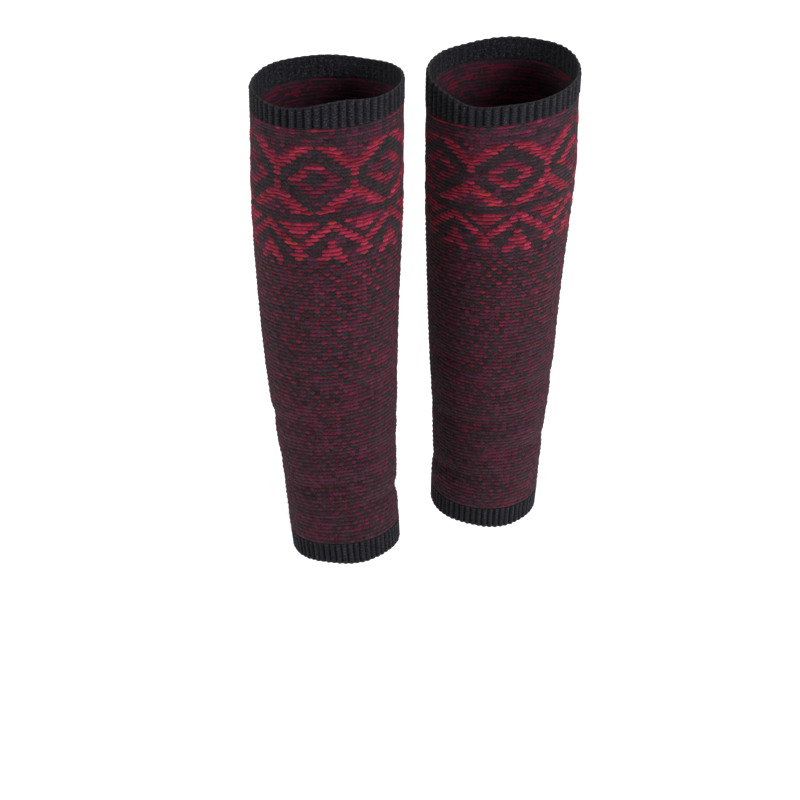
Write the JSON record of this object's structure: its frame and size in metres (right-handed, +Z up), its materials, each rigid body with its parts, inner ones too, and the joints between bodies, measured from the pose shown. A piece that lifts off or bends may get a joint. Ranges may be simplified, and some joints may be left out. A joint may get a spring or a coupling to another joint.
{
  "type": "pair of knitted leg warmers",
  "caption": "Pair of worn knitted leg warmers: hollow jacquard tubes with ribbed cuffs, open at both ends, to cover the leg from below the knee to the ankle.",
  "frame": {"origin": "midway between the two legs, half way up the top cuffs, where the wearer's legs hold the knit", "axes": "+Z up the legs, +X to the right and -Y towards the viewer, as the pair is seen from the front"},
  "size_m": [0.2477, 0.151, 0.3884],
  "materials": {
    "charcoal_rib": "matt charcoal wool in a rib stitch",
    "wine_jacquard": "matt wool jacquard in charcoal, wine and variegated red"
  },
  "bodies": {
    "root": {"left_top_cuff": "charcoal_rib", "left_body": "wine_jacquard", "left_bottom_cuff": "charcoal_rib", "right_top_cuff": "charcoal_rib", "right_body": "wine_jacquard", "right_bottom_cuff": "charcoal_rib"}
  },
  "joints": []
}
